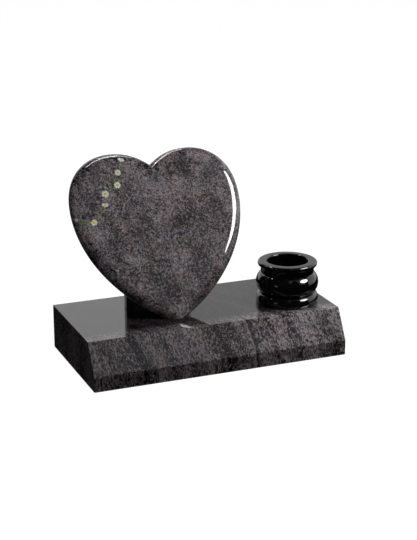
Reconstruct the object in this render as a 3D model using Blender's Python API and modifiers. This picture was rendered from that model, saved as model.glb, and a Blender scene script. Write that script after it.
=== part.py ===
# A polished granite heart memorial on its base: a heart-shaped plate with a rounded
# edge leans back on a round support block, beside a turned vase for cut stems.
# Metres, +Z up. The origin is the centre of the base's underside, -Y is the front,
# and each piece rests on the one below it with a hairline joint.

import math

import bmesh
import bpy
from mathutils import Matrix, Vector

# Base: a slab with square ends whose front slopes back above an upright lip
BASE_WIDTH = 0.762
BASE_DEPTH = 0.381
BASE_HEIGHT = 0.130
LIP_HEIGHT = 0.044          # upright part of the front
SPLAY_SETBACK = 0.049       # how far the sloping front leads back to the top

# Heart: a plate cut to a heart outline, measured in its own leaning plane
HEART_WIDTH = 0.515
HEART_HEIGHT = 0.508        # from the point to the top of the lobes
HEART_THICKNESS = 0.051
HEART_LEAN = math.radians(28.9)
HEART_FROM_END = 0.295      # its axis, in from the base's left end
HEART_TOE = 0.112           # the foot of its front face, back from the base's front
HEART_EDGE_INSET = 0.034    # how far the rounded edge reaches in over each face
HEART_EDGE_BAND = 0.002     # flat band left in the middle of the edge

# Heart outline, in shares of half its width or of its height
LOBE_TOP_U = 0.455
WIDEST_V = 0.696
CLEFT_V = 0.917
CLEFT_ANGLE = math.radians(38.9)
CLEFT_REACH = 0.10
LOBE_REACH_IN = 0.163
LOBE_REACH_OUT = 0.237
SIDE_REACH_UP = 0.229
SIDE_REACH_DOWN = 0.267
TIP_ANGLE = math.radians(26.0)
TIP_REACH = 0.348
OUTLINE_STEPS = 10          # straight stretches in each of its six curves
EDGE_STEPS = 7              # facets across each rounded edge

# Support block: an upright cylinder cut away along the back of the heart
SUPPORT_DIAMETER = 0.193
SUPPORT_HEIGHT = 0.229
SUPPORT_OFFSET = 0.015      # how far its axis stands left of the heart's
SUPPORT_FROM_BACK = 0.1215  # its axis, in from the base's back
SUPPORT_SIDES = 72

# Vase: turned, with a foot ring, a belly, a neck and a flared rim, drilled from above
VASE_FROM_END = 0.115       # its axis, in from the base's right end
VASE_FROM_FRONT = 0.1585    # and back from the base's front
VASE_HEIGHT = 0.125
VASE_FOOT_RADIUS = 0.0915
VASE_FOOT_HEIGHT = 0.032    # height of the foot ring, up to the waist
VASE_FOOT_TURN = 0.012      # height at which the foot ring is widest
VASE_FOOT_UNDERCUT = 0.003
VASE_WAIST_RADIUS = 0.079
VASE_BELLY_RADIUS = 0.0912
VASE_BELLY_TOP = 0.091
VASE_NECK_RADIUS = 0.077
VASE_RIM_RADIUS = 0.0868
VASE_RIM_BAND = 0.013       # height of the rounded rim above the flare
VASE_BORE_RADIUS = 0.060
VASE_BORE_DEPTH = 0.100
VASE_MOUTH_ROUND = 0.004
VASE_SIDES = 56

# Joints and edges
JOINT_GAP = 0.0003          # hairline joint where one piece rests on another
ARRIS = 0.0015              # width of the eased edges
MERGE = 0.00001
SAME_PLANE = math.radians(0.1)
OVERCUT = 0.05              # how far a cutter stands past what it cuts

BASE_FRONT = -BASE_DEPTH / 2
BASE_BACK = BASE_DEPTH / 2
BASE_TOP = BASE_HEIGHT
HEART_X = HEART_FROM_END - BASE_WIDTH / 2
SUPPORT_X = HEART_X - SUPPORT_OFFSET
SUPPORT_Y = BASE_BACK - SUPPORT_FROM_BACK
VASE_X = BASE_WIDTH / 2 - VASE_FROM_END
VASE_Y = BASE_FRONT + VASE_FROM_FRONT
SEAT = BASE_TOP + JOINT_GAP
HEART_INWARD = Vector((0, math.cos(HEART_LEAN), -math.sin(HEART_LEAN)))
HEART_TURN = math.pi / 2 - HEART_LEAN


def clear_scene():
    for item in list(bpy.data.objects):
        bpy.data.objects.remove(item, do_unlink=True)


def new_collection(name):
    collection = bpy.data.collections.new(name)
    bpy.context.scene.collection.children.link(collection)
    return collection


def linear(channel):
    """One sRGB channel, 0 to 1, as a linear value."""
    if channel <= 0.04045:
        return channel / 12.92
    return ((channel + 0.055) / 1.055) ** 2.4


def polished_stone(name, hex_colour, roughness):
    """A material for one piece, from the colour it has in daylight."""
    colour = [linear(int(hex_colour[i:i + 2], 16) / 255) for i in (0, 2, 4)]
    material = bpy.data.materials.new(name)
    material.use_nodes = True
    shader = material.node_tree.nodes["Principled BSDF"]
    shader.inputs["Base Color"].default_value = (*colour, 1)
    shader.inputs["Roughness"].default_value = roughness
    shader.inputs["Metallic"].default_value = 0
    return material


def mesh_object(name, mesh, collection):
    item = bpy.data.objects.new(name, mesh)
    collection.objects.link(item)
    return item


def bake(item):
    """Replace an object by the mesh that its modifiers or its curve make.

    Doubled points are welded, and each flat side becomes one face.
    """
    name, collection = item.name, item.users_collection[0]
    place = item.matrix_world.copy()
    depsgraph = bpy.context.evaluated_depsgraph_get()
    mesh = bpy.data.meshes.new_from_object(item.evaluated_get(depsgraph))
    bpy.data.objects.remove(item, do_unlink=True)
    work = bmesh.new()
    work.from_mesh(mesh)
    bmesh.ops.remove_doubles(work, verts=work.verts, dist=MERGE)
    bmesh.ops.dissolve_limit(
        work, angle_limit=SAME_PLANE, verts=work.verts, edges=work.edges
    )
    bmesh.ops.recalc_face_normals(work, faces=work.faces)
    work.to_mesh(mesh)
    work.free()
    baked = mesh_object(name, mesh, collection)
    baked.matrix_world = place
    return baked


def set_place(item, location, rotation=(0, 0, 0)):
    item.location = location
    item.rotation_euler = rotation
    bpy.context.view_layer.update()


def add_bevel(item, width, segments, angle):
    bevel = item.modifiers.new("Eased edges", "BEVEL")
    bevel.width = width
    bevel.segments = segments
    bevel.limit_method = "ANGLE"
    bevel.angle_limit = angle
    bevel.use_clamp_overlap = False
    return bevel


def add_cut(item, cutter):
    cut = item.modifiers.new("Cut by " + cutter.name, "BOOLEAN")
    cut.operation = "DIFFERENCE"
    cut.solver = "EXACT"
    cut.object = cutter


def box_cutter(name, size, centre, rotation, collection):
    """A box given by its size, centre and turn about the X axis."""
    mesh = bpy.data.meshes.new(name)
    work = bmesh.new()
    bmesh.ops.create_cube(work, size=1, matrix=Matrix.Diagonal((*size, 1)))
    work.to_mesh(mesh)
    work.free()
    cutter = mesh_object(name, mesh, collection)
    set_place(cutter, centre, (rotation, 0, 0))
    cutter.hide_render = True
    cutter.display_type = "WIRE"
    return cutter


def flat_outline(name, points, thickness, collection, steps=1):
    """A flat closed curve, extruded; each point is (place, handle before, handle after)."""
    curve = bpy.data.curves.new(name, "CURVE")
    curve.dimensions = "2D"
    curve.fill_mode = "BOTH"
    curve.extrude = thickness / 2
    curve.resolution_u = steps
    spline = curve.splines.new("BEZIER")
    spline.use_cyclic_u = True
    spline.bezier_points.add(len(points) - 1)
    for point, (place, before, after) in zip(spline.bezier_points, points):
        point.handle_left_type = point.handle_right_type = "FREE"
        point.co = (*place, 0)
        point.handle_left = (*before, 0)
        point.handle_right = (*after, 0)
    item = bpy.data.objects.new(name, curve)
    collection.objects.link(item)
    return item


def make_base(collection):
    """The slab: its end profile, drawn from the front, carried across its width."""
    profile = [
        (BASE_FRONT, 0),
        (BASE_BACK, 0),
        (BASE_BACK, BASE_TOP),
        (BASE_FRONT + SPLAY_SETBACK, BASE_TOP),
        (BASE_FRONT, LIP_HEIGHT),
    ]
    corners = [(place, place, place) for place in profile]
    base = flat_outline("base", corners, BASE_WIDTH, collection)
    set_place(base, (0, 0, 0), (math.pi / 2, 0, math.pi / 2))
    base = bake(base)
    add_bevel(base, ARRIS, 2, math.radians(20))
    base.data.materials.append(polished_stone("granite_base", "5C585C", 0.12))
    return base


def heart_points():
    """The heart's six curve points with their handles, anticlockwise from the tip."""
    half, height = HEART_WIDTH / 2, HEART_HEIGHT

    def right_side():
        tip = Vector((0, 0))
        side = Vector((half, WIDEST_V * height))
        lobe = Vector((LOBE_TOP_U * half, height))
        cleft = Vector((0, CLEFT_V * height))
        along_tip = Vector((math.cos(TIP_ANGLE), math.sin(TIP_ANGLE)))
        along_cleft = Vector((math.cos(CLEFT_ANGLE), math.sin(CLEFT_ANGLE)))
        return {
            "tip": (tip, tip + along_tip * TIP_REACH * height),
            "side": (
                side - Vector((0, SIDE_REACH_DOWN * height)),
                side,
                side + Vector((0, SIDE_REACH_UP * height)),
            ),
            "lobe": (
                lobe + Vector((LOBE_REACH_OUT * half, 0)),
                lobe,
                lobe - Vector((LOBE_REACH_IN * half, 0)),
            ),
            "cleft": (cleft + along_cleft * CLEFT_REACH * height, cleft),
        }

    def mirrored(point):
        return Vector((-point.x, point.y))

    right = right_side()
    tip, tip_handle = right["tip"]
    cleft_handle, cleft = right["cleft"]
    points = [(tip, mirrored(tip_handle), tip_handle)]
    for key in ("side", "lobe"):
        before, place, after = right[key]
        points.append((place, before, after))
    points.append((cleft, cleft_handle, mirrored(cleft_handle)))
    for key in ("lobe", "side"):
        before, place, after = right[key]
        points.append((mirrored(place), mirrored(after), mirrored(before)))
    return points


def make_heart(collection, cutters):
    """The plate: an outline with a rounded edge, leaned back and cut flat where it stands."""
    edge_depth = (HEART_THICKNESS - HEART_EDGE_BAND) / 2
    squeeze = edge_depth / HEART_EDGE_INSET
    heart = flat_outline(
        "heart", heart_points(), HEART_THICKNESS / squeeze, collection, OUTLINE_STEPS
    )
    heart = bake(heart)
    # the edge is rounded as a quarter circle, then squeezed to a quarter ellipse
    add_bevel(heart, HEART_EDGE_INSET, EDGE_STEPS, math.radians(85))
    heart = bake(heart)
    heart.data.transform(Matrix.Diagonal((1, 1, squeeze, 1)))
    foot = Vector((HEART_X, BASE_FRONT + HEART_TOE, BASE_TOP))
    middle = foot + HEART_INWARD * HEART_THICKNESS / 2
    set_place(heart, middle, (HEART_TURN, 0, 0))
    below = box_cutter(
        "below_the_heart",
        (HEART_WIDTH, HEART_HEIGHT, BASE_HEIGHT),
        (HEART_X, foot.y, SEAT - BASE_HEIGHT / 2),
        0,
        cutters,
    )
    add_cut(heart, below)
    heart = bake(heart)
    heart.data.materials.append(polished_stone("granite_heart", "565157", 0.08))
    return heart


def make_support(collection, cutters):
    """The block: an upright cylinder, cut away in front along the heart's back."""
    bpy.ops.mesh.primitive_cylinder_add(
        vertices=SUPPORT_SIDES,
        radius=SUPPORT_DIAMETER / 2,
        depth=SUPPORT_HEIGHT,
        location=(SUPPORT_X, SUPPORT_Y, SEAT + SUPPORT_HEIGHT / 2),
    )
    support = bpy.context.object
    support.name = support.data.name = "support_block"
    for owner in list(support.users_collection):
        owner.objects.unlink(support)
    collection.objects.link(support)
    reach = SUPPORT_DIAMETER + SUPPORT_HEIGHT + OVERCUT
    foot = Vector((SUPPORT_X, BASE_FRONT + HEART_TOE, BASE_TOP))
    back_of_heart = foot + HEART_INWARD * (HEART_THICKNESS + JOINT_GAP)
    in_front = box_cutter(
        "in_front_of_the_support",
        (reach, 2 * reach, reach),
        back_of_heart - HEART_INWARD * reach / 2,
        HEART_TURN,
        cutters,
    )
    add_cut(support, in_front)
    support = bake(support)
    add_bevel(support, ARRIS, 1, math.radians(25))
    support.data.materials.append(polished_stone("granite_support", "3A383C", 0.12))
    return support


def arc(start, end, centre, steps):
    """Points of a quarter ellipse from start to end about a centre, without its start."""
    first, last = start - centre, end - centre
    turn = math.pi / 2 / steps
    return [
        centre + first * math.cos(turn * i) + last * math.sin(turn * i)
        for i in range(1, steps + 1)
    ]


def bulge(top, bottom, widest, steps):
    """Points of a round moulding from top down to bottom, bulging to a radius."""
    half_height = (top.y - bottom.y) / 2
    swell = widest - (top.x + bottom.x) / 2
    radius = (half_height ** 2 + swell ** 2) / (2 * swell)
    centre = Vector((widest - radius, (top.y + bottom.y) / 2))
    sweep = math.asin(half_height / radius)
    points = []
    for i in range(1, steps):
        angle = sweep * (1 - 2 * i / steps)
        points.append(centre + radius * Vector((math.cos(angle), math.sin(angle))))
    return points + [bottom]


def vase_profile():
    """Half the vase's section, from the bore's floor over the rim down to the foot."""
    bore_floor = VASE_HEIGHT - VASE_BORE_DEPTH
    mouth = Vector((VASE_BORE_RADIUS, VASE_HEIGHT - VASE_MOUTH_ROUND))
    mouth_top = Vector((VASE_BORE_RADIUS + VASE_MOUTH_ROUND, VASE_HEIGHT))
    rim_round = VASE_RIM_BAND / 2
    rim_top = Vector((VASE_RIM_RADIUS - rim_round, VASE_HEIGHT))
    rim_side = Vector((VASE_RIM_RADIUS, VASE_HEIGHT - rim_round))
    rim_low = Vector((VASE_RIM_RADIUS - rim_round / 2, VASE_HEIGHT - VASE_RIM_BAND))
    neck = Vector((VASE_NECK_RADIUS, VASE_BELLY_TOP))
    waist = Vector((VASE_WAIST_RADIUS, VASE_FOOT_HEIGHT))
    foot_side = Vector((VASE_FOOT_RADIUS, VASE_FOOT_TURN))
    foot_low = Vector((VASE_FOOT_RADIUS - VASE_FOOT_UNDERCUT, 0))
    points = [Vector((0, bore_floor)), Vector((VASE_BORE_RADIUS, bore_floor)), mouth]
    points += arc(mouth, mouth_top, Vector((mouth_top.x, mouth.y)), 3)
    points.append(rim_top)
    points += arc(rim_top, rim_side, Vector((rim_top.x, rim_side.y)), 4)
    points += arc(rim_side, rim_low, Vector((rim_low.x, rim_side.y)), 3)
    points += arc(rim_low, neck, Vector((rim_low.x, neck.y)), 4)
    points += bulge(neck, waist, VASE_BELLY_RADIUS, 10)
    points += arc(waist, foot_side, Vector((waist.x, foot_side.y)), 5)
    points += arc(foot_side, foot_low, Vector((foot_low.x, foot_side.y)), 2)
    points.append(Vector((0, 0)))
    return points


def make_vase(collection):
    """The vase: its half section turned about its axis."""
    mesh = bpy.data.meshes.new("vase")
    work = bmesh.new()
    line = [work.verts.new((point.x, 0, point.y)) for point in vase_profile()]
    for first, second in zip(line, line[1:]):
        work.edges.new((first, second))
    work.to_mesh(mesh)
    work.free()
    vase = mesh_object("vase", mesh, collection)
    screw = vase.modifiers.new("Turned", "SCREW")
    screw.axis = "Z"
    screw.angle = math.tau
    screw.steps = screw.render_steps = VASE_SIDES
    screw.use_merge_vertices = True
    screw.merge_threshold = MERGE
    set_place(vase, (VASE_X, VASE_Y, SEAT))
    mesh.materials.append(polished_stone("granite_vase", "2C2B2E", 0.07))
    return vase


def main():
    clear_scene()
    parts = new_collection("heart_headstone")
    cutters = new_collection("cutters")
    make_base(parts)
    heart = make_heart(parts, cutters)
    support = make_support(parts, cutters)
    vase = make_vase(parts)
    for item, crease in ((heart, 50), (support, 30), (vase, 50)):
        item.data.shade_smooth()
        item.data.set_sharp_from_angle(angle=math.radians(crease))


main()
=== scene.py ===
# %% [markdown]
# # A heart headstone in polished granite
#
# A heart-shaped plate leans back on a round block. Both stand on a base whose front
# slopes back above an upright lip, with a turned vase on its right. What makes it look
# real is the stone: a mottled grey-mauve granite, polished until it mirrors the studio.
# This notebook loads the measured solids as a fixed frame, makes each stone again with
# finer curves in the same place, and gives it its granite.

# %% Load the frame
import math

import bmesh
import bpy
from mathutils import Matrix, Vector, geometry


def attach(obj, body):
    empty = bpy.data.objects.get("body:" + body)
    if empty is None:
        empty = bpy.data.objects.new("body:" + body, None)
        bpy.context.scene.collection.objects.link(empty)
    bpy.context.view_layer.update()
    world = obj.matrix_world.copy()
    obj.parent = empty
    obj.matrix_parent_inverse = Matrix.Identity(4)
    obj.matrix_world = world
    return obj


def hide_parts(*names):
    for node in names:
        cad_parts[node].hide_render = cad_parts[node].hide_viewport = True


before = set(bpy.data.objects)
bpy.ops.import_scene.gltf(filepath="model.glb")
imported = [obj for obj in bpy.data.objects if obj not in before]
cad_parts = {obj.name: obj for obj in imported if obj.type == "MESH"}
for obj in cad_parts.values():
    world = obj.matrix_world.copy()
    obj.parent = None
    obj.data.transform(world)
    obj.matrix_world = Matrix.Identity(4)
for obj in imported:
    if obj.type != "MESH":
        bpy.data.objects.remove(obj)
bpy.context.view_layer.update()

print("solids:", sorted(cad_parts))

# %% [markdown]
# ## The camera
#
# The photograph was taken from the left and a little above with a long lens, so upright
# edges hardly converge. A camera can be placed by eye, but its numbers can also be
# worked out from the eight corners of the base that show. They gave a 97 mm lens on a
# 36 mm high frame, turned 22 degrees and looking down 18 degrees.

# %% Camera
camera_data = bpy.data.cameras.new("catalogue_camera")
camera_data.sensor_fit = "VERTICAL"
camera_data.sensor_height = 36
camera_data.lens = 97
camera = bpy.data.objects.new("catalogue_camera", camera_data)
camera.location = (-1.475, -3.6845, 1.535)
camera.rotation_euler = (math.radians(72.02), 0, math.radians(-22.23))
bpy.context.scene.collection.objects.link(camera)
bpy.context.scene.camera = camera
print("camera stands", round(camera.location.length, 2), "m from the base")

# %% [markdown]
# ## Sizes
#
# The stones have the solids' sizes, in metres. The heart is drawn in its own leaning
# plane: U runs to the right and V up its face. Writing each size once keeps the stones
# fitted together.

# %% Sizes
BASE_WIDTH, BASE_DEPTH, BASE_HEIGHT = 0.762, 0.381, 0.130
LIP_HEIGHT, SPLAY_SETBACK = 0.044, 0.049
JOINT_GAP = 0.0003
SEAT = BASE_HEIGHT + JOINT_GAP
ARRIS = 0.0015

HEART_WIDTH, HEART_HEIGHT, HEART_THICKNESS = 0.515, 0.5079, 0.051
HEART_LEAN = math.radians(28.9)
HEART_FOOT = Vector((-0.086, -0.0785, BASE_HEIGHT))
EDGE_INSET, EDGE_BAND = 0.034, 0.002

BLOCK_RADIUS, BLOCK_HEIGHT = 0.0965, 0.229
BLOCK_PLACE = Vector((-0.101, 0.069, SEAT))

VASE_PLACE = Vector((0.266, -0.032, SEAT))
VASE_HEIGHT = 0.125

INWARD = Vector((0, math.cos(HEART_LEAN), -math.sin(HEART_LEAN)))
UP_THE_FACE = Vector((0, math.sin(HEART_LEAN), math.cos(HEART_LEAN)))
print("the heart's face looks up", round(math.degrees(HEART_LEAN), 1), "degrees")

# %% [markdown]
# ## Helpers for meshes
#
# Each piece keeps its place in its mesh, so that its pattern stays with it, and its
# modifiers are worked into a plain mesh at once. A polished flat shows every fault in
# its shading, so the shading direction at each corner is set one by one: large flats stay
# flat in their reflections, while the rounded edges shade smoothly.

# %% Mesh helpers
FLAT_AREA = 0.002           # square metres: larger faces are the polished flats


def new_object(name, mesh):
    item = bpy.data.objects.new(name, mesh)
    bpy.context.scene.collection.objects.link(item)
    return item


def worked(item, place=Matrix.Identity(4)):
    """The plain mesh object that an object's modifiers make, moved to its place."""
    name = item.name
    depsgraph = bpy.context.evaluated_depsgraph_get()
    mesh = bpy.data.meshes.new_from_object(item.evaluated_get(depsgraph))
    bpy.data.objects.remove(item, do_unlink=True)
    mesh.transform(place)
    mesh.name = name
    return new_object(name, mesh)


def polish_normals(item, crease):
    """Smooth shading that breaks at edges over crease degrees.

    A corner beside a large flat face takes that face's direction, so the flat stays flat.
    """
    work = bmesh.new()
    work.from_mesh(item.data)
    same = math.cos(math.radians(crease))
    large = {face: face.calc_area() > FLAT_AREA for face in work.faces}
    directions = []
    for face in work.faces:
        for corner in face.loops:
            near = [f for f in corner.vert.link_faces if f.normal.dot(face.normal) > same]
            flats = [f for f in near if large[f]]
            if flats:
                closest = max(flats, key=lambda f: f.normal.dot(face.normal))
                directions.append(closest.normal.copy())
            else:
                total = sum((f.normal * f.calc_area() for f in near), Vector())
                directions.append(total.normalized())
    work.free()
    item.data.shade_smooth()
    item.data.normals_split_custom_set(directions)
    return item


def save_outward(work, mesh):
    """Writes worked geometry to a mesh with every face turned outwards."""
    bmesh.ops.recalc_face_normals(work, faces=work.faces)
    work.to_mesh(mesh)
    work.free()


def ease_edges(item, width, segments, angle):
    bevel = item.modifiers.new("Eased edges", "BEVEL")
    bevel.width = width
    bevel.segments = segments
    bevel.limit_method = "ANGLE"
    bevel.angle_limit = math.radians(angle)
    bevel.use_clamp_overlap = False
    return worked(item)


def tell(item):
    low = [round(1000 * min(v.co[i] for v in item.data.vertices), 1) for i in range(3)]
    high = [round(1000 * max(v.co[i] for v in item.data.vertices), 1) for i in range(3)]
    triangles = sum(len(p.vertices) - 2 for p in item.data.polygons)
    print(item.name, triangles, "triangles, mm", low, high)


print("helpers ready")

# %% [markdown]
# ## The heart's outline
#
# The mason saws the plate to a template. It could be drawn with a curve object, but
# points that a few lines of code work out are easier to change and to mirror. Six
# Bezier points draw it: the tip, the cleft, and on each side the widest point and the
# top of the lobe. Each reach is how far a handle pulls.

# %% Heart outline
LOBE_TOP_U, WIDEST_V, CLEFT_V = 0.455, 0.696, 0.917
CLEFT_ANGLE, CLEFT_REACH = math.radians(38.9), 0.10
LOBE_REACH_IN, LOBE_REACH_OUT = 0.163, 0.237
SIDE_REACH_UP, SIDE_REACH_DOWN = 0.229, 0.267
TIP_ANGLE, TIP_REACH = math.radians(26.0), 0.348
CURVE_STEPS, EDGE_STEPS = 36, 18


def right_outline():
    """Points from the tip up the right side to the cleft, and a little way past it."""
    half, height = HEART_WIDTH / 2, HEART_HEIGHT
    tip, side = Vector((0, 0)), Vector((half, WIDEST_V * height))
    lobe, cleft = Vector((LOBE_TOP_U * half, height)), Vector((0, CLEFT_V * height))
    from_tip = Vector((math.cos(TIP_ANGLE), math.sin(TIP_ANGLE)))
    from_cleft = Vector((math.cos(CLEFT_ANGLE), math.sin(CLEFT_ANGLE)))
    curves = [
        (tip, from_tip * TIP_REACH * height, Vector((0, -SIDE_REACH_DOWN * height)), side),
        (side, Vector((0, SIDE_REACH_UP * height)), Vector((LOBE_REACH_OUT * half, 0)), lobe),
        (lobe, Vector((-LOBE_REACH_IN * half, 0)), from_cleft * CLEFT_REACH * height, cleft),
    ]
    points = []
    for start, leaving, arriving, end in curves:
        points += geometry.interpolate_bezier(
            start, start + leaving, end + arriving, end, CURVE_STEPS + 1
        )[:-1]
    return points + [cleft, cleft - from_cleft * EDGE_INSET * 1.5]


def inward_directions(points):
    """The direction into the plate at each point of an outline that keeps it on the left."""
    found = []
    for number in range(len(points)):
        before = points[max(number - 1, 0)]
        after = points[min(number + 1, len(points) - 1)]
        along = (after - before).normalized()
        found.append(Vector((-along.y, along.x)))
    found[-2] = found[-1]
    return found


print("points on the right side:", len(right_outline()))

# %% [markdown]
# ## The heart's rounded edge
#
# The edge is ground fully round, from the middle of its thickness in over both faces.
# A Bevel modifier would run over itself at the tip and at the cleft. So the right half
# is laid out as a grid of points instead, and each step inwards over the edge follows a
# quarter ellipse.

# %% Rounded edge
def slice_off(item, point, outward, close=True):
    """Cuts away what lies past a plane, and closes the cut with one flat face."""
    work = bmesh.new()
    work.from_mesh(item.data)
    everything = work.verts[:] + work.edges[:] + work.faces[:]
    cut = bmesh.ops.bisect_plane(
        work, geom=everything, plane_co=point, plane_no=outward, clear_outer=True,
        dist=0.000001,
    )
    if close:
        rim = [part for part in cut["geom_cut"] if isinstance(part, bmesh.types.BMEdge)]
        bmesh.ops.edgeloop_fill(work, edges=rim)
        bmesh.ops.recalc_face_normals(work, faces=work.faces)
    work.to_mesh(item.data)
    work.free()


def rounded_half():
    """The right half's edge as a grid: along the outline, and over the edge to both faces."""
    outline = right_outline()
    inward = inward_directions(outline)
    deep = (HEART_THICKNESS - EDGE_BAND) / 2
    angles = [math.pi / 2 * i / EDGE_STEPS for i in range(EDGE_STEPS + 1)]
    profile = [(1 - math.cos(a), EDGE_BAND / 2 + deep * math.sin(a)) for a in angles]
    section = [(inset, -depth) for inset, depth in reversed(profile)] + profile
    places = []
    for point, into in zip(outline, inward):
        for inset, depth in section:
            place = point + into * inset * EDGE_INSET
            places.append((place.x, place.y, depth))
    row = len(section)
    faces = [
        (i * row + j, (i + 1) * row + j, (i + 1) * row + j + 1, i * row + j + 1)
        for i in range(len(outline) - 1) for j in range(row - 1)
    ]
    mesh = bpy.data.meshes.new("heart_plate")
    mesh.from_pydata(places, [], faces)
    return new_object("heart_plate", mesh)


print("steps over the edge:", EDGE_STEPS)

# %% [markdown]
# ## The heart whole
#
# The half runs on past the middle, is cut off there and mirrored. That gives a clean
# ridge at the tip and the sharp valley between the lobes. One large face fills the front
# and one the back, the plate is leaned back, and its tip is cut level where it stands.

# %% Heart plate
def face_place(lift):
    """Moves drawings with X to the right and Y up onto the heart's face, lifted off it."""
    columns = [Vector((1, 0, 0)), UP_THE_FACE, -INWARD, HEART_FOOT - INWARD * lift]
    place = Matrix.Identity(4)
    for number, column in enumerate(columns):
        for row in range(3):
            place[row][number] = column[row]
    return place


def make_heart():
    heart = rounded_half()
    slice_off(heart, (0, 0, 0), (-1, 0, 0), close=False)
    work = bmesh.new()
    work.from_mesh(heart.data)
    half = work.verts[:] + work.edges[:] + work.faces[:]
    copy = bmesh.ops.duplicate(work, geom=half)["geom"]
    copied = [part for part in copy if isinstance(part, bmesh.types.BMVert)]
    bmesh.ops.scale(work, verts=copied, vec=(-1, 1, 1))
    bmesh.ops.remove_doubles(work, verts=work.verts, dist=0.00001)
    bmesh.ops.holes_fill(work, edges=work.edges, sides=0)
    save_outward(work, heart.data)
    heart.data.transform(face_place(-HEART_THICKNESS / 2))
    slice_off(heart, (0, 0, SEAT), (0, 0, -1))
    return polish_normals(heart, 40)


heart = make_heart()
tell(heart)

# %% [markdown]
# ## The round block
#
# Behind the heart stands a drum of the same stone, cut away along the heart's back so
# that it carries the plate. A boolean could cut it, but one slanting slice through one
# cylinder is exact and leaves no stray faces. Its edges are eased by a millimetre and a
# half, as a mason takes off every sharp arris.

# %% Round block
BLOCK_SIDES, ARRIS_STEPS = 180, 3


def make_block():
    mesh = bpy.data.meshes.new("round_block")
    work = bmesh.new()
    bmesh.ops.create_cone(
        work, cap_ends=True, segments=BLOCK_SIDES, radius1=BLOCK_RADIUS,
        radius2=BLOCK_RADIUS, depth=BLOCK_HEIGHT,
        matrix=Matrix.Translation(BLOCK_PLACE + Vector((0, 0, BLOCK_HEIGHT / 2))),
    )
    work.to_mesh(mesh)
    work.free()
    block = new_object("round_block", mesh)
    heart_back = HEART_FOOT + INWARD * (HEART_THICKNESS + JOINT_GAP)
    slice_off(block, heart_back, -INWARD)
    block = ease_edges(block, ARRIS, ARRIS_STEPS, 25)
    # the easing overshoots at the two sharp corners of the foot, so they are set level
    for point in block.data.vertices:
        point.co.z = max(point.co.z, SEAT)
    return polish_normals(block, 50)


block = make_block()
tell(block)

# %% [markdown]
# ## The base
#
# The base is one slab with a splayed front above an upright lip. Its end profile has
# five corners, and carrying that profile across the width gives the splay, the lip, the
# top and the ends at once, which is simpler than cutting a box down.

# %% Base
def make_base():
    front, back = -BASE_DEPTH / 2, BASE_DEPTH / 2
    profile = [
        (front, 0), (back, 0), (back, BASE_HEIGHT),
        (front + SPLAY_SETBACK, BASE_HEIGHT), (front, LIP_HEIGHT),
    ]
    mesh = bpy.data.meshes.new("splayed_base")
    work = bmesh.new()
    end = work.faces.new([work.verts.new((-BASE_WIDTH / 2, y, z)) for y, z in profile])
    swept = bmesh.ops.extrude_face_region(work, geom=[end])
    moved = [part for part in swept["geom"] if isinstance(part, bmesh.types.BMVert)]
    bmesh.ops.translate(work, verts=moved, vec=(BASE_WIDTH, 0, 0))
    save_outward(work, mesh)
    base = ease_edges(new_object("splayed_base", mesh), ARRIS, ARRIS_STEPS, 20)
    return polish_normals(base, 60)


base = make_base()
tell(base)

# %% [markdown]
# ## Nodes and colours
#
# One small function adds a node to any tree, sets its own settings, and fills or links
# its inputs. The stones and the three Geometry Nodes trees are all built with it.
# Colours are written as the hex values that a colour picker shows, and turned to linear
# light once, because shaders reckon in linear light.

# %% Node helper
NOISE, RANGE, MIX = "ShaderNodeTexNoise", "ShaderNodeMapRange", "ShaderNodeMix"
MATH, VECTOR, RAMP = "ShaderNodeMath", "ShaderNodeVectorMath", "ShaderNodeValToRGB"
COMBINE, ATTRIBUTE = "ShaderNodeCombineXYZ", "GeometryNodeInputNamedAttribute"


def add_node(tree, kind, inputs=None, **settings):
    """Adds a node.

    inputs maps an input's name or number to a value, to a socket to join, or to a node
    whose first output is joined.
    """
    node = tree.nodes.new(kind)
    for name, value in settings.items():
        setattr(node, name, value)
    for key, source in (inputs or {}).items():
        if isinstance(source, bpy.types.Node):
            source = source.outputs[0]
        if isinstance(source, bpy.types.NodeSocket):
            tree.links.new(source, node.inputs[key])
        else:
            node.inputs[key].default_value = source
    return node


def linear(hex_colour):
    """An sRGB hex colour as linear red, green, blue and full opacity."""
    levels = [int(hex_colour[i:i + 2], 16) / 255 for i in (0, 2, 4)]
    lit = [c / 12.92 if c <= 0.04045 else ((c + 0.055) / 1.055) ** 2.4 for c in levels]
    return (*lit, 1)


def set_ramp(node, stops):
    ramp = node.color_ramp
    while len(ramp.elements) < len(stops):
        ramp.elements.new(0.5)
    for element, (position, hex_colour) in zip(ramp.elements, stops):
        element.position = position
        element.color = linear(hex_colour)


def new_material(name):
    """An empty material, and its tree."""
    material = bpy.data.materials.new(name)
    material.use_nodes = True
    material.node_tree.nodes.clear()
    return material, material.node_tree


print("mid stone grey:", [round(c, 3) for c in linear("5A565A")])

# %% [markdown]
# ## Where the minerals lie
#
# Granite is the same all through, so its pattern has to be solid too: it reads the
# place inside the piece, and runs on round every edge. Places are turned to millimetres
# first, so that every scale below reads as a real size. A slow noise bends them, as the
# rock flowed while it was hot.

# %% Places in the stone
DRIFT_MM = 90


def stone_places(tree, turn, swirl_mm):
    """Places in metres, a slow drift either side of zero, and bent places in millimetres.

    turn sets how the stone's layers stand, and swirl_mm how far the drift bends them.
    """
    place = add_node(tree, "ShaderNodeTexCoord").outputs["Object"]
    in_mm = add_node(tree, "ShaderNodeMapping", {
        "Vector": place, "Scale": (1000, 1000, 1000), "Rotation": turn,
    })
    slow = add_node(tree, NOISE, {"Vector": in_mm, "Scale": 1 / DRIFT_MM, "Detail": 2.0})
    drift = add_node(tree, VECTOR, {0: slow.outputs["Color"], 1: (0.5, 0.5, 0.5)},
                     operation="SUBTRACT")
    bent = add_node(tree, VECTOR, {
        0: drift, 1: (swirl_mm, swirl_mm, swirl_mm), 2: in_mm,
    }, operation="MULTIPLY_ADD")
    return place, drift, bent


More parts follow.
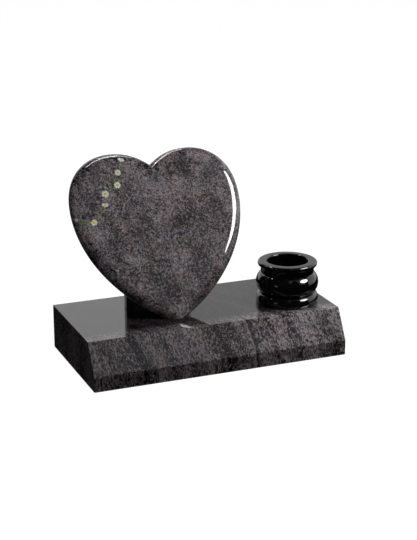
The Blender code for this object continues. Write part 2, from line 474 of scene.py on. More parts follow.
print("the drift turns over every", DRIFT_MM, "mm")

# %% [markdown]
# ## Crystals, clouds and hues
#
# Seen close, this granite is pale and dark crystals of a few millimetres. Seen from
# further off they gather in clouds. Two noises of those sizes are mixed and turned to
# greys, and a third, slower one tints them: brown-pink where feldspar lies, blue-grey
# where quartz does. Colour noise alone would look like confetti, so grey comes first.

# %% Crystals and hues
CRYSTAL_MM, CLOUD_MM, PATCH_MM = 5.2, 60, 30
HUES = [(0.38, "C3B0AA"), (0.50, "B8AFB1"), (0.62, "B0AFB7")]


def stone_colour(tree, grain, flow, cloudy, greys):
    """The stone's colour, and the small noise that its crystals follow."""
    small = add_node(tree, NOISE, {
        "Vector": grain, "Scale": 1 / CRYSTAL_MM, "Detail": 4.0, "Roughness": 0.8,
    })
    cloud = add_node(tree, NOISE, {
        "Vector": flow, "Scale": 1 / CLOUD_MM, "Detail": 3.0, "Roughness": 0.65,
    })
    mottle = add_node(tree, MIX, {"Factor": cloudy, 2: small, 3: cloud})
    grey = add_node(tree, RAMP, {0: mottle})
    set_ramp(grey, greys)
    patch = add_node(tree, NOISE, {
        "Vector": grain, "Scale": 1 / PATCH_MM, "Detail": 5.0, "Roughness": 0.8,
    })
    hue = add_node(tree, RAMP, {0: patch})
    set_ramp(hue, HUES)
    colour = add_node(tree, VECTOR, {0: grey, 1: hue}, operation="MULTIPLY")
    return colour, small


print("crystals", CRYSTAL_MM, "mm, clouds", CLOUD_MM, "mm, hues", PATCH_MM, "mm")

# %% [markdown]
# ## Mica and veins
#
# Black mica lies in flakes of up to a centimetre, and only in some places. So one noise
# says where it gathers and a finer one where the flakes are, and their product is the
# mica. Pale veins are cracks that quartz filled: a line runs wherever a slow noise
# crosses its middle, and another noise breaks it into lengths.

# %% Mica and veins
CLUSTER_MM, FLAKE_MM = 45, 9
VEIN_MM, VEIN_HALF_WIDTH, LENGTH_MM = 44, 0.009, 24


def mica_share(tree, grain, flow, mica):
    gathered = add_node(tree, NOISE, {"Vector": flow, "Scale": 1 / CLUSTER_MM, "Detail": 3.0})
    clusters = add_node(tree, RANGE, {"Value": gathered, "From Min": 0.44, "From Max": 0.58})
    flakes = add_node(tree, NOISE, {
        "Vector": grain, "Scale": 1 / FLAKE_MM, "Detail": 3.0, "Roughness": 0.7,
    })
    flakes = add_node(tree, RANGE, {
        "Value": flakes, "From Min": 0.52, "From Max": 0.44, "To Max": mica,
    })
    return add_node(tree, MATH, {0: clusters, 1: flakes}, operation="MULTIPLY")


def away_from(tree, value, middle):
    """How far a value lies from a middle, on either side of it."""
    off = add_node(tree, MATH, {0: value, 1: middle}, operation="SUBTRACT")
    return add_node(tree, MATH, {0: off}, operation="ABSOLUTE")


def vein_share(tree, flow, vein):
    slow = add_node(tree, NOISE, {
        "Vector": flow, "Scale": 1 / VEIN_MM, "Detail": 3.0, "Roughness": 0.6,
    })
    line = add_node(tree, RANGE, {
        "Value": away_from(tree, slow, 0.5), "From Min": VEIN_HALF_WIDTH, "From Max": 0.0,
        "To Max": vein,
    })
    lengths = add_node(tree, NOISE, {"Vector": flow, "Scale": 1 / LENGTH_MM, "Detail": 2.0})
    broken = add_node(tree, RANGE, {"Value": lengths, "From Min": 0.50, "From Max": 0.60})
    return add_node(tree, MATH, {0: line, 1: broken}, operation="MULTIPLY")


print("mica flakes", FLAKE_MM, "mm, vein lengths", LENGTH_MM, "mm")

# %% [markdown]
# ## Marks of the base's own slab, and painted shade on its top
#
# Only the base has these. Its colour grows lighter towards the right, and one dark seam with a
# pale quartz line beside it crosses the front and slants back over the top. Both are
# bands about a plane, which the drift makes wavy. The level top is painted darker
# towards the back, a painted shade that leaves it showing its reflections and hardly any stone.

# %% Slab marks and painted shade
SLOPE_REACH_MM, PALER = 330, 0.36
ACROSS_THE_SEAM, WAVE = (1000, 210, 0), 0.03      # mm for each metre of X and Y; metres
SEAM_AT_MM, SEAM_FADE_MM, SEAM_DEPTH = 65, (1.0, 9.0), 0.8
LINE_AT_MM, LINE_FADE_MM, LINE_PALENESS = 57, (3.2, 1.0), 1.44
# painted shade on the top: its colour darkens from the first Y back to the second, by up to the
# depth
PAINTED_SHADE_FROM_Y, PAINTED_SHADE_FULL_Y, PAINTED_SHADE_DEPTH = -0.130, -0.085, 0.85


def slab_marks_and_shade(tree, colour, place, drift, bent, small):
    across = add_node(tree, "ShaderNodeSeparateXYZ", {0: bent})
    # the slab's colour grows lighter from left to right across its width
    slope = add_node(tree, RANGE, {
        "Value": across, "From Min": -SLOPE_REACH_MM, "From Max": SLOPE_REACH_MM,
        "To Min": 1.0 - PALER, "To Max": 1.0 + PALER,
    })

    wavy = add_node(tree, VECTOR, {0: drift, 1: (WAVE, WAVE, 0), 2: place},
                    operation="MULTIPLY_ADD")
    past = add_node(tree, VECTOR, {0: wavy, 1: ACROSS_THE_SEAM},
                    operation="DOT_PRODUCT").outputs["Value"]
    shade = add_node(tree, RANGE, {
        "Value": away_from(tree, past, SEAM_AT_MM), "From Min": SEAM_FADE_MM[0],
        "From Max": SEAM_FADE_MM[1], "To Min": 1.0 - SEAM_DEPTH, "To Max": 1.0,
    })
    pale = add_node(tree, RANGE, {
        "Value": away_from(tree, past, LINE_AT_MM), "From Min": LINE_FADE_MM[0],
        "From Max": LINE_FADE_MM[1], "To Max": LINE_PALENESS,
    })
    pale = add_node(tree, MATH, {0: pale, 1: small}, operation="MULTIPLY")

    # painted shade: the level top's colour is darkened towards the back, so it shows its
    # reflections and hardly any stone
    spot = add_node(tree, "ShaderNodeSeparateXYZ", {0: place}).outputs
    shade_towards_back = add_node(tree, RANGE, {
        "Value": spot[1], "From Min": PAINTED_SHADE_FROM_Y, "From Max": PAINTED_SHADE_FULL_Y,
        "To Max": PAINTED_SHADE_DEPTH,
    })
    painted_shade_on_top = add_node(tree, RANGE, {
        "Value": spot[2], "From Min": BASE_HEIGHT - 0.0012, "From Max": BASE_HEIGHT - 0.0004,
        "To Max": shade_towards_back,
    })
    # what is left of the top's colour after the painted shade
    top = add_node(tree, MATH, {0: 1.0, 1: painted_shade_on_top}, operation="SUBTRACT")

    light = add_node(tree, MATH, {0: slope, 1: shade}, operation="MULTIPLY")
    colour = add_node(tree, VECTOR, {0: colour, "Scale": light}, operation="SCALE")
    colour = add_node(tree, MIX, {"Factor": pale, 6: colour, 7: linear("A29A9C")},
                      data_type="RGBA").outputs[2]
    return add_node(tree, VECTOR, {0: colour, "Scale": top}, operation="SCALE")


print("the seam crosses the front", SEAM_AT_MM, "mm right of the middle")

# %% [markdown]
# ## The granite
#
# All four stones are granite, which is quartz, feldspar and mica grown together. They
# are sawn with a diamond wire, ground flat and polished with finer and finer grit. The
# polish gives the eye two things: the minerals' own colours show deep and clear, and a
# sharp mirror lies over them, faint face on and strong at a low angle. A Principled
# shader does both with stone's IOR of 1.55 and a low roughness. Its small unevenness is
# there because mica takes less polish than quartz.

# %% Granite
GLINT_MM, FLICKER, UNEVEN_POLISH = 2.4, 0.28, 0.2


def granite(name, turn, grain_stretch, flow_stretch, swirl_mm, greys, cloudy, mica, vein,
            roughness, marks_and_shade=None):
    """Polished granite.

    A stretch below 1 draws the minerals out along that axis: grain_stretch the small
    crystals, flow_stretch the clouds and veins. cloudy, mica and vein are how strongly
    those show. marks_and_shade adds what only one slab has, and its painted shade.
    """
    material, tree = new_material(name)
    place, drift, bent = stone_places(tree, turn, swirl_mm)
    grain = add_node(tree, VECTOR, {0: bent, 1: grain_stretch}, operation="MULTIPLY")
    flow = add_node(tree, VECTOR, {0: bent, 1: flow_stretch}, operation="MULTIPLY")

    colour, small = stone_colour(tree, grain, flow, cloudy, greys)
    black_mica = (mica_share(tree, grain, flow, mica), "100F11")
    pale_veins = (vein_share(tree, flow, vein), "A8A4A9")
    for share, tint in (black_mica, pale_veins):
        colour = add_node(tree, MIX, {"Factor": share, 6: colour, 7: linear(tint)},
                          data_type="RGBA").outputs[2]
    crystals = add_node(tree, "ShaderNodeTexVoronoi", {"Vector": grain, "Scale": 1 / GLINT_MM})
    flicker = add_node(tree, RANGE, {
        "Value": crystals.outputs["Color"], "To Min": 1 - FLICKER, "To Max": 1 + FLICKER,
    })
    colour = add_node(tree, VECTOR, {0: colour, "Scale": flicker}, operation="SCALE")
    if marks_and_shade:
        colour = marks_and_shade(tree, colour, place, drift, bent, small)

    gloss = add_node(tree, RANGE, {
        "Value": crystals.outputs["Color"], "To Min": roughness * (1 - UNEVEN_POLISH),
        "To Max": roughness * (1 + UNEVEN_POLISH),
    })
    shader = add_node(tree, "ShaderNodeBsdfPrincipled", {
        "Base Color": colour, "Roughness": gloss, "IOR": 1.55, "Metallic": 0.0,
    })
    add_node(tree, "ShaderNodeOutputMaterial", {"Surface": shader})
    return material


print("glinting crystals are", GLINT_MM, "mm across")

# %% [markdown]
# ## Four stones
#
# The heart's pattern is even. The block behind it is the same stone, its greys painted
# darker as shade under the leaning heart. The base's slab was sawn across the layers, so
# its minerals are drawn out into steep flow lines. The vase is a finer, almost black
# granite, as turned vases often are, because a fine stone chips less on the lathe.

# %% Stones
HEART_GREYS = [(0.415, "0C0B0D"), (0.47, "716C70"), (0.52, "BBB6BA"), (0.60, "FFFCFF")]
# the block's greys are darker than the heart's: painted shade for the heart's shadow over it
BLOCK_GREYS_PAINTED_SHADE = [(0.36, "0C0B0C"), (0.46, "2A282A"), (0.53, "403D40"), (0.66, "777377")]
BASE_GREYS = [(0.44, "070608"), (0.48, "646063"), (0.52, "C6C1C5"), (0.57, "FFFCFF")]
VASE_GREYS = [(0.30, "0C0B0D"), (0.45, "171618"), (0.60, "222125"), (0.74, "38363B")]

# migmatite granite, polished: mottled grey-mauve, and it mirrors softly face on
heart_granite = granite(
    "polished_migmatite_granite", (0.3, 0.2, 0.5), (1, 1, 1), (1, 1, 0.7), 40,
    HEART_GREYS, cloudy=0.27, mica=0.9, vein=0.6, roughness=0.03,
)
# the same with a little more mica, and darker greys: painted shade, so it reads almost black in
# the heart's shadow
block_granite = granite(
    "polished_migmatite_granite_block", (0.9, 0.1, 0.2), (1, 1, 1), (1, 1, 0.7), 40,
    BLOCK_GREYS_PAINTED_SHADE, cloudy=0.27, mica=1.0, vein=0.3, roughness=0.04,
)
# sawn across the layers and polished: fine grain in steep streaks, a mirror on top, and painted
# shade darkening the top towards the back
base_granite = granite(
    "polished_flowing_granite", (0, 0, math.radians(-30)), (1.5, 0.8, 0.66),
    (1.1, 0.16, 0.14), 24, BASE_GREYS, cloudy=0.28, mica=0.8, vein=1.0, roughness=0.03,
    marks_and_shade=slab_marks_and_shade,
)
# turned and polished on the lathe: near black, so its reflections are what shows
vase_granite = granite(
    "polished_black_granite", (0, 0, 0), (1, 1, 1), (1, 1, 1), 0,
    VASE_GREYS, cloudy=0.3, mica=0.5, vein=0.0, roughness=0.03,
)
for piece, stone in ((heart, heart_granite), (block, block_granite), (base, base_granite)):
    piece.data.materials.clear()
    piece.data.materials.append(stone)
    print(piece.name, "is", stone.name)

# %% [markdown]
# ## The vase's section
#
# The vase is turned on a lathe, so all of its shape lies in one half section: a foot
# ring, a hollow waist, a round belly, a neck, a rim and the straight bore inside. Each
# moulding is a quarter ellipse or an arc between two points, as a turner sets it out.

# %% Vase section
FOOT_RADIUS, FOOT_HEIGHT, FOOT_TURN, FOOT_UNDERCUT = 0.0915, 0.032, 0.012, 0.003
WAIST_RADIUS, BELLY_RADIUS, BELLY_TOP = 0.079, 0.0912, 0.091
NECK_RADIUS, RIM_RADIUS, RIM_BAND = 0.077, 0.0868, 0.013
BORE_RADIUS, BORE_DEPTH, MOUTH_ROUND = 0.060, 0.100, 0.004


def quarter(start, end, centre, steps):
    """Points of a quarter ellipse from start to end about a centre, without its start."""
    first, last = start - centre, end - centre
    turn = math.pi / 2 / steps
    return [
        centre + first * math.cos(turn * i) + last * math.sin(turn * i)
        for i in range(1, steps + 1)
    ]


def moulding(top, bottom, widest, steps):
    """Points of a round moulding from top down to bottom that bulges to a radius."""
    half_height = (top.y - bottom.y) / 2
    swell = widest - (top.x + bottom.x) / 2
    radius = (half_height ** 2 + swell ** 2) / (2 * swell)
    centre = Vector((widest - radius, (top.y + bottom.y) / 2))
    sweep = math.asin(half_height / radius)
    angles = [sweep * (1 - 2 * i / steps) for i in range(1, steps)]
    return [centre + radius * Vector((math.cos(a), math.sin(a))) for a in angles] + [bottom]


def vase_section():
    floor = VASE_HEIGHT - BORE_DEPTH
    mouth = Vector((BORE_RADIUS, VASE_HEIGHT - MOUTH_ROUND))
    mouth_top = Vector((BORE_RADIUS + MOUTH_ROUND, VASE_HEIGHT))
    rim_round = RIM_BAND / 2
    rim_top = Vector((RIM_RADIUS - rim_round, VASE_HEIGHT))
    rim_side = Vector((RIM_RADIUS, VASE_HEIGHT - rim_round))
    rim_low = Vector((RIM_RADIUS - rim_round / 2, VASE_HEIGHT - RIM_BAND))
    neck = Vector((NECK_RADIUS, BELLY_TOP))
    waist = Vector((WAIST_RADIUS, FOOT_HEIGHT))
    foot_side = Vector((FOOT_RADIUS, FOOT_TURN))
    foot_low = Vector((FOOT_RADIUS - FOOT_UNDERCUT, 0))
    points = [Vector((0, floor)), Vector((BORE_RADIUS, floor)), mouth]
    points += quarter(mouth, mouth_top, Vector((mouth_top.x, mouth.y)), 6)
    points.append(rim_top)
    points += quarter(rim_top, rim_side, Vector((rim_top.x, rim_side.y)), 8)
    points += quarter(rim_side, rim_low, Vector((rim_low.x, rim_side.y)), 6)
    points += quarter(rim_low, neck, Vector((rim_low.x, neck.y)), 10)
    points += moulding(neck, waist, BELLY_RADIUS, 24)
    points += quarter(waist, foot_side, Vector((waist.x, foot_side.y)), 12)
    points += quarter(foot_side, foot_low, Vector((foot_low.x, foot_side.y)), 5)
    points.append(Vector((0, 0)))
    return points


print("section points:", len(vase_section()))

# %% [markdown]
# ## Turning the vase
#
# A Screw modifier or the Spin tool could turn the section too. Geometry Nodes are used
# because the rule then stands in one readable tree: the half section is an open line of
# points, a small guide circle is the path, and Curve to Mesh sweeps one along the other.
# The points that meet on the axis are merged, which closes the bore's floor and the
# underside.

# %% Turning tree
GUIDE_RADIUS, VASE_SIDES = 0.02, 128


def new_tree(name, sizes):
    """A Geometry Nodes tree with a geometry input, named sizes, and an output."""
    tree = bpy.data.node_groups.new(name, "GeometryNodeTree")
    for label, kind in [("Geometry", "Geometry"), *sizes]:
        tree.interface.new_socket(label, in_out="INPUT", socket_type="NodeSocket" + kind)
    tree.interface.new_socket("Geometry", in_out="OUTPUT", socket_type="NodeSocketGeometry")
    return tree


def turning_tree():
    tree = new_tree("turn_on_a_lathe", [
        ("Guide radius", "Float"), ("Sides", "Int"), ("Stone", "Material"),
    ])
    given = add_node(tree, "NodeGroupInput").outputs
    section = add_node(tree, "GeometryNodeMeshToCurve", {"Mesh": given["Geometry"]})
    circle = add_node(tree, "GeometryNodeCurvePrimitiveCircle", {
        "Resolution": given["Sides"], "Radius": given["Guide radius"],
    })
    swept = add_node(tree, "GeometryNodeCurveToMesh", {
        "Curve": circle.outputs["Curve"], "Profile Curve": section.outputs["Curve"],
    })
    closed = add_node(tree, "GeometryNodeMergeByDistance", {
        "Geometry": swept.outputs["Mesh"], "Distance": 0.00002,
    })
    real = add_node(tree, "GeometryNodeRealizeInstances", {"Geometry": closed})
    stone = add_node(tree, "GeometryNodeSetMaterial", {
        "Geometry": real, "Material": given["Stone"],
    })
    add_node(tree, "NodeGroupOutput", {"Geometry": stone})
    return tree


def grow(item, tree, sizes, place=Matrix.Identity(4)):
    """Runs a tree on an object with its sizes set, and returns the plain mesh in place."""
    modifier = item.modifiers.new(tree.name, "NODES")
    modifier.node_group = tree
    for socket in tree.interface.items_tree:
        if socket.in_out == "INPUT" and socket.name in sizes:
            modifier[socket.identifier] = sizes[socket.name]
    return worked(item, place)


def make_vase(stone):
    mesh = bpy.data.meshes.new("turned_vase")
    line = [(point.x - GUIDE_RADIUS, -point.y, 0) for point in vase_section()]
    mesh.from_pydata(line, [(i, i + 1) for i in range(len(line) - 1)], [])
    vase = grow(new_object("turned_vase", mesh), turning_tree(), {
        "Guide radius": GUIDE_RADIUS, "Sides": VASE_SIDES, "Stone": stone,
    }, Matrix.Translation(VASE_PLACE))
    work = bmesh.new()
    work.from_mesh(vase.data)
    save_outward(work, vase.data)
    return polish_normals(vase, 50)


vase = make_vase(vase_granite)
tell(vase)

# %% [markdown]
# ## Enamel and how it lies
#
# The heart's upper left is painted with a small spray of daisies, a film of enamel a
# tenth of a millimetre thick. It could be part of the stone's colour, but shapes of
# their own stay crisp at any distance. They are drawn flat in front of the face, and a
# ray from each point finds the stone below it, so that the paint also follows the
# rounded edge.

# %% Enamel
COVER_PATCH = 0.0025        # metres: where the brush left the enamel thinner


def painted(name, hex_colour, roughness):
    """Brushed and baked enamel, a little darker where it lies thinner and stone shows."""
    material, tree = new_material(name)
    place = add_node(tree, "ShaderNodeTexCoord").outputs["Object"]
    thin = add_node(tree, NOISE, {"Vector": place, "Scale": 1 / COVER_PATCH, "Detail": 2.0})
    cover = add_node(tree, RANGE, {
        "Value": thin, "From Min": 0.3, "From Max": 0.7, "To Min": 0.82, "To Max": 1.0,
    })
    colour = add_node(tree, VECTOR, {0: linear(hex_colour)[:3], "Scale": cover},
                      operation="SCALE")
    shader = add_node(tree, "ShaderNodeBsdfPrincipled", {
        "Base Color": colour, "Roughness": roughness, "IOR": 1.5,
    })
    add_node(tree, "ShaderNodeOutputMaterial", {"Surface": shader})
    return material


def laid(tree, given, flat, film, paint):
    """Lets flat shapes down onto the stone, a film above it, and gives them their paint."""
    stone = add_node(tree, "GeometryNodeObjectInfo", {"Object": given["Stone"]},
                     transform_space="RELATIVE")
    real = add_node(tree, "GeometryNodeRealizeInstances", {"Geometry": flat})
    ray = add_node(tree, "GeometryNodeRaycast", {
        "Target Geometry": stone.outputs["Geometry"], "Ray Direction": (0, 0, -1),
        "Ray Length": 0.2,
    })
    lift = add_node(tree, VECTOR, {0: ray.outputs["Hit Normal"], "Scale": film},
                    operation="SCALE")
    where = add_node(tree, VECTOR, {0: ray.outputs["Hit Position"], 1: lift})
    down = add_node(tree, "GeometryNodeSetPosition", {
        "Geometry": real, "Position": where,
        "Selection": ray.outputs["Is Hit"],
    })
    return add_node(tree, "GeometryNodeSetMaterial", {
        "Geometry": down, "Material": given[paint],
    })


def disc(tree, points, radius):
    outline = add_node(tree, "GeometryNodeCurvePrimitiveCircle", {
        "Resolution": points, "Radius": radius,
    })
    return add_node(tree, "GeometryNodeFillCurve", {"Curve": outline}, mode="NGONS")


def oval(tree, points, length, width, shift=(0, 0, 0)):
    """A disc drawn out to a length and a width, for a petal or a leaf."""
    size = add_node(tree, COMBINE, {"X": length, "Y": width, "Z": 1.0})
    return add_node(tree, "GeometryNodeTransform", {
        "Geometry": disc(tree, points, 0.5), "Translation": shift, "Scale": size,
    })


print("a film covers", round(1000 * COVER_PATCH, 1), "mm patches unevenly")

# %% [markdown]
# ## The painted daisies
#
# Each flower is the same few petals round a yellow eye, which is work for Geometry
# Nodes: a ring of points carries the petals, each turned a little off its even place
# with a fixed seed. The guide points on the face then carry the flowers, each with its
# own turn, and narrower where it is seen from the side.

# %% Daisy tree
PETAL_POINTS, EYE_POINTS, PETAL_OUT, PETAL_LOOSENESS = 10, 12, 0.66, 0.10
RING_RADIUS = 0.0002


def daisy_tree():
    tree = new_tree("painted_daisies", [
        ("Stone", "Object"), ("Film", "Float"), ("Petals", "Int"),
        ("Petal length", "Float"), ("Petal width", "Float"), ("Eye radius", "Float"),
        ("White enamel", "Material"), ("Yellow enamel", "Material"),
    ])
    given = add_node(tree, "NodeGroupInput").outputs
    half_out = add_node(tree, MATH, {0: given["Petal length"], 1: PETAL_OUT},
                        operation="MULTIPLY")
    shift = add_node(tree, COMBINE, {"X": half_out})
    petal = oval(tree, PETAL_POINTS, given["Petal length"], given["Petal width"], shift)
    ring = add_node(tree, "GeometryNodeMeshCircle", {
        "Vertices": given["Petals"], "Radius": RING_RADIUS,
    })
    number = add_node(tree, "GeometryNodeInputIndex")
    share = add_node(tree, MATH, {0: number, 1: given["Petals"]}, operation="DIVIDE")
    angle = add_node(tree, MATH, {0: share, 1: math.tau}, operation="MULTIPLY")
    loose = add_node(tree, "FunctionNodeRandomValue", {
        "Min": -PETAL_LOOSENESS, "Max": PETAL_LOOSENESS, "Seed": 7,
    }, data_type="FLOAT")
    angle = add_node(tree, MATH, {0: angle, 1: loose.outputs[1]})
    spin = add_node(tree, COMBINE, {"Z": angle})
    petals = add_node(tree, "GeometryNodeInstanceOnPoints", {
        "Points": ring, "Instance": petal, "Rotation": spin,
    })
    eye = disc(tree, EYE_POINTS, given["Eye radius"])
    turn = add_node(tree, ATTRIBUTE, {"Name": "turn"}, data_type="FLOAT_VECTOR")
    spread = add_node(tree, ATTRIBUTE, {"Name": "spread"}, data_type="FLOAT_VECTOR")
    twice = add_node(tree, MATH, {0: given["Film"], 1: 2.0}, operation="MULTIPLY")
    painting = add_node(tree, "GeometryNodeJoinGeometry")
    for shape, film, paint in (
        (petals, given["Film"], "White enamel"), (eye, twice, "Yellow enamel"),
    ):
        spray = add_node(tree, "GeometryNodeInstanceOnPoints", {
            "Points": given["Geometry"], "Instance": shape, "Rotation": turn,
            "Scale": spread,
        })
        finished = laid(tree, given, spray, film, paint)
        tree.links.new(finished.outputs[0], painting.inputs[0])
    add_node(tree, "NodeGroupOutput", {"Geometry": painting})
    return tree


print("petals are drawn with", PETAL_POINTS, "points each")

# %% [markdown]
# ## The painted stems
#
# Thin green stems run from flower to flower, with small leaves beside them. A brush
# stroke follows a path, so each stem's few points are smoothed to a curve and a short
# line, as wide as the brush, is swept along it. The leaves sit on guide points of their
# own.

# %% Stem tree
LEAF_POINTS = 8


def stem_tree():
    tree = new_tree("painted_stems", [
        ("Stone", "Object"), ("Film", "Float"), ("Stem width", "Float"),
        ("Leaf length", "Float"), ("Leaf width", "Float"), ("Green enamel", "Material"),
    ])
    given = add_node(tree, "NodeGroupInput").outputs
    lines = add_node(tree, "GeometryNodeMeshToCurve", {"Mesh": given["Geometry"]})
    smooth = add_node(tree, "GeometryNodeCurveSplineType", {"Curve": lines},
                      spline_type="CATMULL_ROM")
    half = add_node(tree, MATH, {0: given["Stem width"], 1: 0.5}, operation="MULTIPLY")
    left = add_node(tree, MATH, {0: half, 1: -1.0}, operation="MULTIPLY")
    start = add_node(tree, COMBINE, {"X": left})
    end = add_node(tree, COMBINE, {"X": half})
    brush = add_node(tree, "GeometryNodeCurvePrimitiveLine", {"Start": start, "End": end})
    stems = add_node(tree, "GeometryNodeCurveToMesh", {
        "Curve": smooth, "Profile Curve": brush,
    })
    leaf = oval(tree, LEAF_POINTS, given["Leaf length"], given["Leaf width"])
    is_leaf = add_node(tree, ATTRIBUTE, {"Name": "leaf"}, data_type="BOOLEAN")
    turn = add_node(tree, ATTRIBUTE, {"Name": "turn"}, data_type="FLOAT_VECTOR")
    leaves = add_node(tree, "GeometryNodeInstanceOnPoints", {
        "Points": given["Geometry"], "Instance": leaf,
        "Selection": is_leaf, "Rotation": turn,
    })
    greens = add_node(tree, "GeometryNodeJoinGeometry")
    tree.links.new(stems.outputs[0], greens.inputs[0])
    tree.links.new(leaves.outputs[0], greens.inputs[0])
    finished = laid(tree, given, greens, given["Film"], "Green enamel")
    add_node(tree, "NodeGroupOutput", {"Geometry": finished})
    return tree


print("leaves are drawn with", LEAF_POINTS, "points each")

# %% [markdown]
# ## Painting on the face
#
# The places below are given on the heart's own U and V, as a painter would mark
# them before starting. The enamels are thick, slightly glossy paints: they cover the
# stone's mirror, so that the flowers read matt beside it.

# %% Painting on the face
FILM, GUIDE_LIFT = 0.0001, 0.02
DAISIES = [  # U and V in mm, width and height against a full flower, turn in degrees
    (-89, 483, 1.05, 0.60, -20), (-106, 446, 0.95, 0.92, 10), (-114, 410, 1.00, 1.00, 30),
    (-154, 388, 1.10, 1.05, 5), (-160, 356, 1.05, 0.62, -10), (-201, 309, 0.95, 0.95, 50),
    (-248, 324, 0.40, 0.55, 15),
]
STEMS = [  # U and V in mm, from flower to flower
    [(-90, 478), (-96, 464), (-101, 453)],
    [(-108, 440), (-118, 428), (-116, 417)],
    [(-121, 404), (-134, 400), (-148, 391)],
    [(-158, 381), (-155, 370), (-158, 358), (-165, 345), (-178, 329), (-195, 315)],
    [(-204, 314), (-222, 307), (-240, 319)],
]
LEAVES = [  # U and V in mm, turn in degrees
    (-126, 434, 20), (-133, 430, 160), (-112, 391, -15), (-149, 414, 70), (-144, 402, 30),
    (-134, 407, 110), (-149, 371, -40), (-170, 349, 35), (-184, 334, 150), (-187, 320, -60),
    (-216, 303, -20), (-226, 314, 40), (-236, 310, 10), (-99, 462, 60),
]


def grow_on_face(name, points, edges, tree, sizes, **attributes):
    """Runs a painting tree on guide points drawn flat, held just off the heart's face."""
    mesh = bpy.data.meshes.new(name)
    mesh.from_pydata([(u / 1000, v / 1000, 0) for u, v in points], edges, [])
    for label, values in attributes.items():
        if isinstance(values[0], bool):
            mesh.attributes.new(label, "BOOLEAN", "POINT").data.foreach_set("value", values)
        else:
            numbers = [number for value in values for number in value]
            held = mesh.attributes.new(label, "FLOAT_VECTOR", "POINT").data
            held.foreach_set("vector", numbers)
    item = new_object(name, mesh)
    item.matrix_world = face_place(GUIDE_LIFT)
    bpy.context.view_layer.update()
    sizes = {"Stone": heart, "Film": FILM, **sizes}
    return grow(item, tree, sizes, face_place(GUIDE_LIFT))


daisies = grow_on_face(
    "painted_daisies", [(u, v) for u, v, *_ in DAISIES], [], daisy_tree(),
    {
        "Petals": 13, "Petal length": 0.0088, "Petal width": 0.0036, "Eye radius": 0.0043,
        "White enamel": painted("white_enamel_paint", "FFFFFA", 0.35),
        "Yellow enamel": painted("yellow_enamel_paint", "F0DC18", 0.35),
    },
    turn=[(0, 0, math.radians(degrees)) for *_, degrees in DAISIES],
    spread=[(wide, high, 1) for _, _, wide, high, _ in DAISIES],
)
tell(daisies)

stem_points = [point for stem in STEMS for point in stem]
first = [sum(len(stem) for stem in STEMS[:i]) for i in range(len(STEMS))]
stem_edges = [(a + i, a + i + 1) for a, stem in zip(first, STEMS) for i in range(len(stem) - 1)]
stems = grow_on_face(
    "painted_stems", stem_points + [(u, v) for u, v, _ in LEAVES], stem_edges, stem_tree(),
    {
        "Stem width": 0.0017, "Leaf length": 0.0060, "Leaf width": 0.0030,
        "Green enamel": painted("green_enamel_paint", "84A41C", 0.35),
    },
    turn=[(0, 0, 0)] * len(stem_points) + [(0, 0, math.radians(a)) for *_, a in LEAVES],
    leaf=[False] * len(stem_points) + [True] * len(LEAVES),
)
tell(stems)

# %% [markdown]
# ## Lights for a mirror
#
# Polished stone is lit twice: by what shines on it, and by what it mirrors. The lights
# are split by that job, so that one can be set without spoiling the other. Those that
# shine bring out the stone's own colour. Those that are mirrored are not seen by the
# stone's matt side, and each draws one thing that the eye takes for polish.

# %% Light helpers
MIDDLE, ACROSS = Vector((0, 0, 0.3)), Vector((1, 0, 0))


def softbox(name, place, size, radiance, aim=MIDDLE, along=ACROSS, mirrored=True):
    """A rectangular light whose first side lies along a direction.

    radiance is how bright its face looks, with white at 1. A mirrored light shows only
    in reflections, and any other only shines.
    """
    data = bpy.data.lights.new(name, "AREA")
    data.shape = "RECTANGLE"
    data.size, data.size_y = size
    data.energy = radiance * math.pi * size[0] * size[1]
    lamp = bpy.data.objects.new(name, data)
    behind = (Vector(place) - Vector(aim)).normalized()
    side = (Vector(along) - behind * behind.dot(Vector(along))).normalized()
    turned = Matrix((side, behind.cross(side), behind)).transposed()
    lamp.matrix_world = Matrix.Translation(place) @ turned.to_4x4()
    lamp.visible_camera = False
    lamp.visible_glossy = mirrored
    lamp.visible_diffuse = not mirrored
    bpy.context.scene.collection.objects.link(lamp)
    return lamp


def from_direction(azimuth, elevation, distance, centre=MIDDLE):
    """A place seen from a centre at an azimuth right of the front and an elevation."""
    a, e = math.radians(azimuth), math.radians(elevation)
    towards = Vector((math.sin(a) * math.cos(e), -math.cos(a) * math.cos(e), math.sin(e)))
    return centre + towards * distance


def strip(name, lobe, start, end, width, radiance):
    """A thin light half a metre from a lobe, from one direction to another."""
    start, end = Vector(start) / 2, Vector(end) / 2
    softbox(name, lobe + (start + end) / 2, ((end - start).length, width / 2), radiance,
            aim=lobe, along=end - start)


print("a white face has radiance 1")

# %% [markdown]
# ## Studio
#
# The key light stands high at the front right, so the splay is bright and the lip below
# it dark. A white and a grey backdrop are mirrored in the top of the base. A round
# softbox on the right draws the long bright strip on the heart's rounded edge and the
# highlights on the vase, and two thin strips overhead draw the fine lines on the lobes.

# %% Lights
softbox("key_light", from_direction(35, 58, 3.0), (1.6, 1.6), 6.3, mirrored=False)
softbox("front_veil", from_direction(29, 38, 2.8), (3.0, 2.2), 0.36)
softbox("white_backdrop", (-0.175, 3.4, 2.4), (2.95, 4.7), 1.02, aim=(-0.175, 0, 2.4))
softbox("grey_backdrop", (3.125, 3.4, 2.4), (3.65, 4.7), 0.62, aim=(3.125, 0, 2.4))
softbox("left_wall", from_direction(-62, 6, 2.8), (0.7, 0.6), 0.6, along=(0.5, 1, 0))
softbox("right_wall", (3.4, 0.4, 1.7), (4.4, 3.3), 1.1, aim=(0, 0.4, 1.7), along=(0, 1, 0))
round_box = softbox("right_softbox", from_direction(54, 31, 3.0), (1.56, 1.2), 17.0,
                    along=(1, 1.38, 0))
round_box.data.shape = "ELLIPSE"
softbox("left_fill", from_direction(-80, 15, 2.8), (1.2, 1.2), 0.85, along=(0, 1, 0),
        mirrored=False)
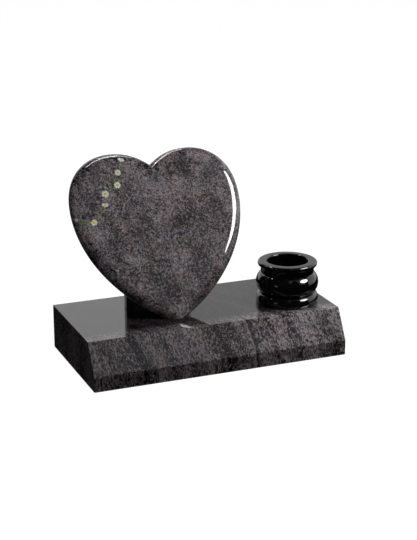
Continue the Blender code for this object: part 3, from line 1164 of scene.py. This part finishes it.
softbox("back_fill", (0.9, 3.0, 1.0), (1.2, 1.2), 9.0, mirrored=False)
strip("left_strip", Vector((-0.245, 0.16, 0.55)), (-0.27, 0.06, 0.96), (0.47, 0.31, 0.90),
      0.07, 21.0)
strip("right_strip", Vector((-0.055, 0.16, 0.54)), (-0.28, 0.31, 0.90), (0.42, 0.56, 0.82),
      0.06, 21.0)
print("lights:", len(bpy.data.lights))

# %% [markdown]
# ## A black card and the world
#
# A mirror can show a light twice, here in the heart's lowest edge and again in the base.
# A photographer holds a black card between the two, and so does this cell: only
# reflections see it. Its paint is matt black, so that it mirrors nothing itself. The
# world is white to the camera and nearly black to the stone.

# %% Black card and world
LOW_EDGE, CARD_HALF_WIDTH, CARD_HALF_HEIGHT = Vector((-0.055, -0.09, 0.15)), 0.09, 0.07
CAMERA_WHITE, ROOM_LIGHT = 1.0, 0.008


def rectangle(name, half_width, half_height):
    mesh = bpy.data.meshes.new(name)
    sides = ((-1, -1), (1, -1), (1, 1), (-1, 1))
    mesh.from_pydata([(x * half_width, y * half_height, 0) for x, y in sides], [],
                     [(0, 1, 2, 3)])
    return new_object(name, mesh)


card = rectangle("black_card", CARD_HALF_WIDTH, CARD_HALF_HEIGHT)
card_place = from_direction(61, 18, 0.36, LOW_EDGE)
facing = (LOW_EDGE - card_place).to_track_quat("Z", "Y")
card.data.transform(Matrix.LocRotScale(card_place, facing, None))
card.data.materials.append(painted("matt_black_card_paint", "0A0A0B", 0.9))
card.visible_camera = False
card.visible_diffuse = False
card.visible_shadow = False

world = bpy.data.worlds.new("studio")
world.use_nodes = True
bpy.context.scene.world = world
tree = world.node_tree
tree.nodes.clear()
white = linear("FFFFFF")
dim = add_node(tree, "ShaderNodeBackground", {"Color": white, "Strength": ROOM_LIGHT})
bright = add_node(tree, "ShaderNodeBackground", {"Color": white, "Strength": CAMERA_WHITE})
path = add_node(tree, "ShaderNodeLightPath")
both = add_node(tree, "ShaderNodeMixShader", {
    0: path.outputs["Is Camera Ray"], 1: dim, 2: bright,
})
add_node(tree, "ShaderNodeOutputWorld", {"Surface": both})
bpy.context.scene.view_settings.view_transform = "Standard"
print("card stands", round(1000 * (card_place - LOW_EDGE).length), "mm from the edge")

# %% [markdown]
# ## The floor
#
# A plain floor in white emulsion that hardly takes a shadow. A rolled-out paper sweep
# would look the same, and a flat sheet is simpler. Most of its white is a glow, so that
# it stays as white near the stone as far off. The stone's reflections leave it out.

# %% Floor
FLOOR_HALF, GLOW_STRENGTH, GLOW_SHARE = 30, 1.13, 0.88

floor = rectangle("studio_floor", FLOOR_HALF, FLOOR_HALF)
floor_paint, tree = new_material("white_floor_paint")
lit = add_node(tree, "ShaderNodeBsdfDiffuse", {"Color": linear("F4F4F4")})
glow = add_node(tree, "ShaderNodeEmission", {"Color": white, "Strength": GLOW_STRENGTH})
mixed = add_node(tree, "ShaderNodeMixShader", {0: GLOW_SHARE, 1: lit, 2: glow})
add_node(tree, "ShaderNodeOutputMaterial", {"Surface": mixed})
floor.data.materials.append(floor_paint)
floor.visible_glossy = False
floor.visible_diffuse = False
print("floor is", 2 * FLOOR_HALF, "m wide")

# %% [markdown]
# ## Hand over to the frame
#
# Each stone stands for the solid it was made over and rides on the one body.

# %% Ride and finish
for piece, node, slot in (
    (base, "base", "granite_base"),
    (heart, "heart", "granite_heart"),
    (block, "support_block", "granite_support"),
    (vase, "vase", "granite_vase"),
):
    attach(piece, "root")
    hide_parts(node)
for painting in (daisies, stems):
    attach(painting, "root")
